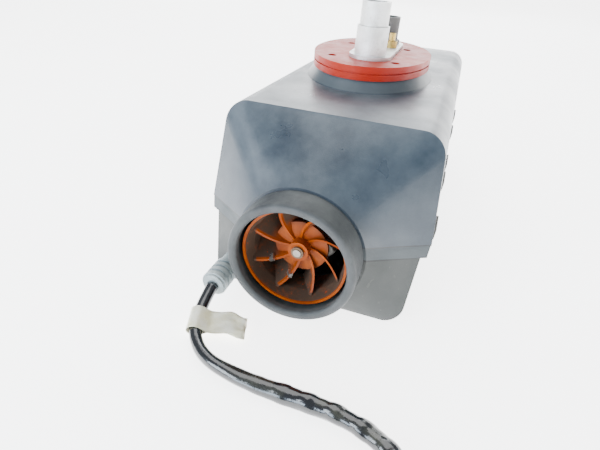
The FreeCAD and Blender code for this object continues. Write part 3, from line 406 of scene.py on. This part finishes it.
zinc_mat = surface(
    "zinc_steel", (0.62, 0.61, 0.58), (0.44, 0.42, 0.38), rough=0.33, metal=0.95, blotch=60, grain=1700,
    bump=0.2, scratches=0.25, scratch_tone=(0.75, 0.74, 0.7))
bright_mat = surface(
    "bright_steel", (0.78, 0.78, 0.78), (0.6, 0.59, 0.57), rough=0.2, metal=1.0, blotch=120, grain=2400,
    bump=0.1, scratches=0.2, scratch_tone=(0.9, 0.9, 0.9))
intake_mat = surface(
    "intake_plastic", (0.055, 0.056, 0.058), (0.1, 0.1, 0.098), rough=0.5, blotch=60, grain=1500,
    bump=0.3, dust=(0.32, 0.3, 0.26), dust_and_sheen_amount=0.6, scratches=0.3, scratch_tone=(0.3, 0.3, 0.28))
brass_mat = surface(
    "brass", (0.66, 0.47, 0.14), (0.4, 0.3, 0.1), rough=0.35, metal=0.9, blotch=150, grain=2000,
    bump=0.2, scratches=0.2, scratch_tone=(0.8, 0.65, 0.3))
inner_mat = surface(
    "inner_plastic", (0.03, 0.03, 0.032), (0.055, 0.055, 0.055), rough=0.55, blotch=40, grain=1300,
    bump=0.3, dust=(0.25, 0.24, 0.21), dust_and_sheen_amount=0.5)
magnet_mat = surface(
    "ferrite", (0.055, 0.055, 0.06), (0.1, 0.095, 0.09), rough=0.4, metal=0.3, blotch=90, grain=1900,
    bump=0.3)
copper_mat = surface(
    "enamelled_copper", (0.55, 0.2, 0.07), (0.36, 0.11, 0.03), rough=0.3, metal=0.8, blotch=200,
    grain=2600, bump=0.5)
gasket_mat = surface(
    "gasket_fibre", (0.34, 0.32, 0.29), (0.24, 0.22, 0.19), rough=0.85, blotch=90, grain=1300, bump=0.7)
mat_mat = surface(
    "ceramic_mat", (0.72, 0.69, 0.61), (0.5, 0.44, 0.36), rough=0.9, blotch=120, grain=1000, bump=1.0)
board_mat = surface(
    "board_green", (0.015, 0.11, 0.04), (0.02, 0.16, 0.06), rough=0.3, blotch=120, grain=2200, bump=0.2,
    coat=0.3)
part_mat = surface(
    "component_black", (0.022, 0.022, 0.024), (0.05, 0.05, 0.05), rough=0.42, blotch=160, grain=2200,
    bump=0.2, dust=(0.2, 0.19, 0.17), dust_and_sheen_amount=0.3)
boot_mat = surface(
    "boot_rubber", (0.36, 0.42, 0.44), (0.2, 0.24, 0.25), rough=0.5, blotch=90, grain=1500, bump=0.4,
    dust=(0.45, 0.46, 0.42), dust_and_sheen_amount=0.35, scratches=0.3, scratch_tone=(0.06, 0.06, 0.055))
tape_mat = surface(
    "tag_tape", (0.82, 0.81, 0.7), (0.74, 0.7, 0.44), rough=0.28, blotch=130, grain=1500, bump=0.25,
    dust=(0.6, 0.57, 0.44), dust_and_sheen_amount=0.2, scratches=0.2, scratch_tone=(0.45, 0.4, 0.22), coat=0.4)


def vinyl_material():
    """Glossy black sleeve, with olive patches on its lumps away from the boot, drawn only on their upward,
    lit faces: partly a painted highlight.
    """
    n = Nodes("cable_vinyl")
    olive = n.ramp(n.noise(75.0, 5.0, rough=0.6), 0.44, 0.60)
    split = n.add("SeparateXYZ", Vector=n.coords())
    further = n.ramp(split.outputs["X"], -0.030, 0.020)
    lit = n.ramp(n.upward(), 0.25, 0.9)
    # Painted highlight in part: the olive film only shows where the lumps face up into the light.
    film = n.times(n.times(olive, further), n.times(lit, 0.45))
    colour = n.mix(film, (0.004, 0.006, 0.009), (0.070, 0.072, 0.045))
    colour = n.mix(n.ramp(n.noise(420.0, 4.0), 0.62, 0.72, 0.0, 0.25), colour, (0.16, 0.17, 0.17))
    n.link(colour, n.shader.inputs["Base Color"])
    n.link(n.ramp(film, 0.0, 1.0, 0.16, 0.42), n.shader.inputs["Roughness"])
    n.shader.inputs["Specular IOR Level"].default_value = 0.75
    n.shader.inputs["Coat Weight"].default_value = 0.3
    relief = n.add("Bump", Height=n.noise(260.0, 4.0), Strength=0.35, Distance=0.0006)
    n.link(relief.outputs["Normal"], n.shader.inputs["Normal"])
    return n.material


vinyl_mat = vinyl_material()


FAN_RADIUS = (fan_high[0] - fan_low[0]) / 2
HUB_RADIUS = 6.6 * MM
EDGE_AT_TIP, EDGE_AT_ROOT = 4.5 * MM, 15.0 * MM


def fan_material():
    """Orange plastic under brown dust: clean on the lip, the blades' leading edges and the hub."""
    n = Nodes("fan_orange")
    blotches = n.ramp(n.noise(60.0, 5.0), 0.35, 0.65)
    colour = n.mix(blotches, (0.31, 0.056, 0.000), (0.20, 0.030, 0.000))
    split = n.add("SeparateXYZ", Vector=n.coords())
    flat = n.add("CombineXYZ")
    for axis, centre in (("X", FAN.x), ("Z", FAN.z)):
        n.link(n.math("SUBTRACT", split.outputs[axis], centre), flat.inputs[axis])
    length = n.add("VectorMath", Vector=flat.outputs["Vector"])
    length.operation = "LENGTH"
    radius = length.outputs["Value"]
    along = n.math("SUBTRACT", split.outputs["Y"], FAN.y)
    share = n.ramp(radius, HUB_RADIUS, FAN_RADIUS - 2.6 * MM)
    edge = n.ramp(n.math("POWER", share, 1.4), 0.0, 1.0, EDGE_AT_ROOT, EDGE_AT_TIP)
    behind = n.ramp(n.math("SUBTRACT", along, edge), 0.5 * MM, 1.6 * MM)
    band = n.ramp(radius, FAN_RADIUS - 5.0 * MM, FAN_RADIUS - 4.2 * MM)
    behind = n.math("MAXIMUM", behind, band)
    lip = n.ramp(along, 0.5 * MM, 1.3 * MM)
    outward = n.ramp(radius, 15.0 * MM, 21.0 * MM, 0.15, 1.0)
    film = n.ramp(n.noise(85.0, 8.0, rough=0.7), 0.28, 0.46, 0.45, 1.0)
    dirty = n.times(n.times(behind, lip), n.times(film, outward))
    colour = n.mix(dirty, colour, (0.060, 0.036, 0.024))
    flecks = n.ramp(n.noise(420.0, 3.0), 0.66, 0.70, 0.0, 0.7)
    colour = n.mix(n.times(flecks, dirty), colour, (0.34, 0.042, 0.001))
    n.link(colour, n.shader.inputs["Base Color"])
    n.link(n.ramp(dirty, 0.0, 1.0, 0.34, 0.85), n.shader.inputs["Roughness"])
    n.shader.inputs["Specular IOR Level"].default_value = 0.15
    relief = n.add("Bump", Height=n.noise(1300.0, 3.0), Strength=0.35, Distance=0.0002)
    n.link(relief.outputs["Normal"], n.shader.inputs["Normal"])
    return n.material


fan_mat = fan_material()

LOOKS = {
    "upper_shell": casing_top, "lower_shell": casing_low_mat, "seam_latches": inner_mat,
    "inlet_collar": collar_mat, "outlet_collar": collar_mat, "flange_seal": seal_mat,
    "flange_plate": cast_mat, "exchanger_neck": cast_mat, "exhaust_boss": cast_mat,
    "exhaust_pipe": cast_mat, "air_intake_pipe": intake_mat, "fuel_pipe": brass_mat,
    "heat_exchanger": cast_mat, "exchanger_gasket": gasket_mat, "burner_head": cast_mat,
    "burner_tube": steel_mat, "flame_tube": steel_mat, "evaporator_mat": mat_mat, "glow_plug": zinc_mat,
    "overheat_sensor": zinc_mat, "sensor_strap": zinc_mat, "blower_housing": cast_mat,
    "blower_cover": cast_mat, "combustion_wheel": inner_mat, "motor_can": zinc_mat,
    "motor_end_cap": zinc_mat, "front_bearing": bright_mat, "rear_bearing": bright_mat,
    "rotor_magnet": magnet_mat, "stator": steel_mat, "motor_windings": copper_mat,
    "motor_shaft": steel_mat, "impeller_nut": nut_mat, "hot_air_impeller": fan_mat,
    "control_unit_case": inner_mat, "control_board": board_mat, "board_components": part_mat,
    "unit_bracket": cast_mat, "cable_boot": boot_mat, "cable_tag": tape_mat, "harness_plug": part_mat,
    "burner_screws": zinc_mat, "blower_screws": zinc_mat, "balance_clips": zinc_mat,
    "harness_cable": vinyl_mat, "harness_coil": vinyl_mat,
}


def dress(obj, material):
    """Gives a piece one material."""
    obj.data.materials.clear()
    obj.data.materials.append(material)


for name, obj in NODES.items():
    dress(obj, LOOKS.get(name, cast_mat))
dress(cable, vinyl_mat)
dress(tag, tape_mat)

EDGES = {
    "upper_shell": 0.5, "lower_shell": 0.8, "seam_latches": 0.3, "flange_seal": 0.8,
    "flange_plate": 0.6, "exhaust_boss": 0.6, "exhaust_pipe": 0.3, "air_intake_pipe": 0.4,
    "hot_air_impeller": 0.2, "cable_boot": 0.5, "harness_plug": 0.5, "inlet_collar": 0.4,
    "outlet_collar": 0.8,
}
for name, width in EDGES.items():
    if name in NODES:
        bevel(NODES[name], width * MM)

# ---------------------------------------------------------------- floor and light
FLOOR_GLOW = 4.2
FLOOR_GAP = 0.4 * MM
WORLD_STRENGTH = 0.55
SWEEP_START, SWEEP_RADIUS, FLOOR_HALF = 3.0, 1.5, 6.0
profile = [(-FLOOR_HALF, 0.0), (SWEEP_START, 0.0)]
profile += [(SWEEP_START + SWEEP_RADIUS * math.sin(turn), SWEEP_RADIUS * (1 - math.cos(turn)))
            for turn in (math.radians(10 * step) for step in range(1, 10))]
floor_verts = [(side * FLOOR_HALF, along, height) for along, height in profile for side in (-1, 1)]
floor_faces = [(corner, corner + 1, corner + 3, corner + 2) for corner in range(0, 2 * len(profile) - 2, 2)]
floor = mesh_object("floor", floor_verts, floor_faces)
floor.location.z = -FLOOR_GAP
n = Nodes("floor_white")
patches = n.ramp(n.noise(6.0, 5.0), 0.3, 0.7)
n.link(n.mix(patches, (0.90, 0.90, 0.90), (0.86, 0.87, 0.87)), n.shader.inputs["Base Color"])
n.shader.inputs["Roughness"].default_value = 0.8
n.shader.inputs["Emission Color"].default_value = (1.0, 1.0, 1.0, 1.0)
n.shader.inputs["Emission Strength"].default_value = FLOOR_GLOW
dress(floor, n.material)

world = bpy.data.worlds.new("studio")
bpy.context.scene.world = world
world.use_nodes = True
world.node_tree.nodes["Background"].inputs["Color"].default_value = (0.95, 0.98, 1.0, 1.0)
world.node_tree.nodes["Background"].inputs["Strength"].default_value = WORLD_STRENGTH


def area_light(name, place, target, size, power, colour=(1, 1, 1)):
    """A rectangular light aimed at a point."""
    data = bpy.data.lights.new(name, "AREA")
    data.shape = "RECTANGLE"
    data.size, data.size_y = size
    data.energy = power
    data.color = colour
    light = bpy.data.objects.new(name, data)
    bpy.context.collection.objects.link(light)
    light.location = place
    light.rotation_euler = (Vector(target) - Vector(place)).to_track_quat("-Z", "Y").to_euler()
    return light


middle = Vector((0, 0, 0.06))
area_light("overhead", (-0.15, 0.15, 1.2), middle, (1.2, 1.2), 16)
area_light("back_window", (-0.5, 1.9, 1.35), middle, (2.2, 1.4), 50, (0.94, 0.98, 1.0))
area_light("left_window", (-0.85, -1.15, 0.55), middle, (0.6, 0.7), 20, (0.80, 0.90, 1.0))
area_light("front_window", (-0.38, -1.30, 0.16), middle, (0.4, 0.5), 8, (0.70, 0.84, 1.0))
